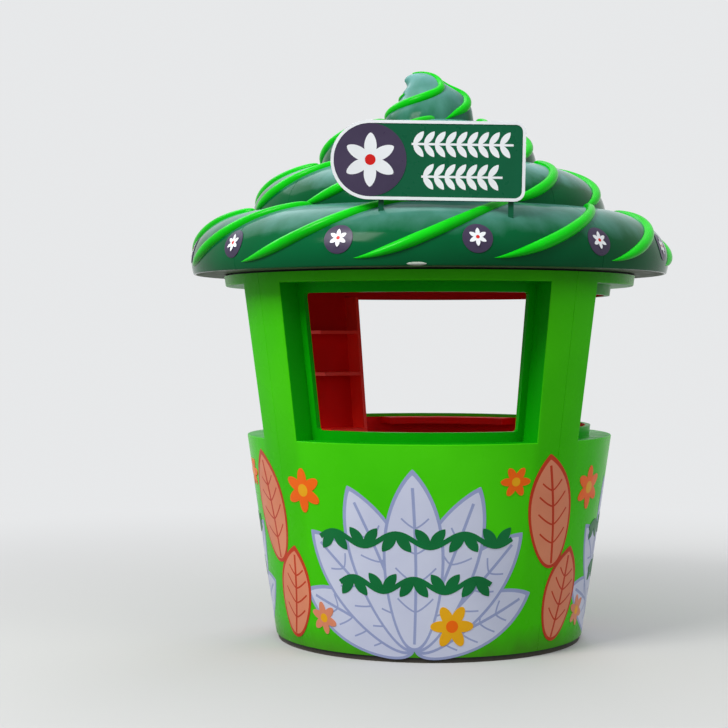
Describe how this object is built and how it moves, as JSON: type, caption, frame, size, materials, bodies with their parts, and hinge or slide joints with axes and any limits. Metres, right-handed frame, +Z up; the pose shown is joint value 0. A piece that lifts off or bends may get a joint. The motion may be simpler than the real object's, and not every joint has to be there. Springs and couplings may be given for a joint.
{
  "type": "street kiosk",
  "caption": "Round street kiosk: tapered cup-shaped body with open windows all round, a rear half door, and a tiered swirled cream roof with ribs and a curled peak.",
  "frame": {"origin": "centre of the base on the ground, under the middle of the bounding box", "axes": "+Z up, the front window faces -Y, +X is to the right as seen from the front"},
  "size_m": [2.652, 2.652, 3.1108],
  "materials": {
    "body_green": "lime green gel coat, gloss, lightly weathered",
    "lining_red": "deep red paint, satin",
    "roof_green": "dark green gel coat, high gloss",
    "rib_green": "bright green gel coat, gloss",
    "base_black": "black, dull",
    "floor_grey": "grey anti-slip board",
    "soffit_grey": "pale grey-white, satin",
    "hinge_steel": "zinc-plated steel",
    "sign_green": "dark green, gloss",
    "sign_white": "white, gloss",
    "badge_aubergine": "dark aubergine, satin",
    "lamp_lens": "opal lens, translucent white"
  },
  "bodies": {
    "kiosk": {"base_board": "base_black", "bolt_keeper": "hinge_steel", "door_threshold": "body_green", "floor": "floor_grey", "frame_hinges": "hinge_steel", "front_left_pier": "body_green", "front_lower_lining": "lining_red", "front_lower_wall": "body_green", "front_right_pier": "body_green", "front_window_lip": "body_green", "header_lining": "lining_red", "left_lower_lining": "lining_red", "left_lower_wall": "body_green", "left_window_lip": "body_green", "lip_lamp": "lamp_lens", "pier_linings": "lining_red", "rear_left_pier": "body_green", "rear_right_pier": "body_green", "rear_window_lip": "body_green", "ribs_peak": "rib_green", "ribs_tier_1": "rib_green", "ribs_tier_2": "rib_green", "ribs_tier_3": "rib_green", "right_lower_lining": "lining_red", "right_lower_wall": "body_green", "right_window_lip": "body_green", "roof_badges": "badge_aubergine", "roof_peak": "roof_green", "roof_seat": "base_black", "roof_soffit": "soffit_grey", "roof_tier_1": "roof_green", "roof_tier_2": "roof_green", "roof_tier_3": "roof_green", "shelf_boards": "lining_red", "shelf_side": "lining_red", "sign_board": "sign_green", "sign_border": "sign_white", "sign_disc": "badge_aubergine", "sign_posts": "hinge_steel", "top_band": "body_green"},
    "rear_door": {"door_panel": "body_green", "door_lining": "lining_red", "door_cap": "body_green", "door_ledge": "lining_red", "door_bolt": "hinge_steel", "door_hinges": "hinge_steel"}
  },
  "joints": [
    {"name": "rear_door_hinge", "type": "hinge", "parent": "kiosk", "child": "rear_door", "pos_m": [0.58538, 0.82371, 0.76], "axis": [0, 0, -1], "range_deg": [0, 90]}
  ]
}
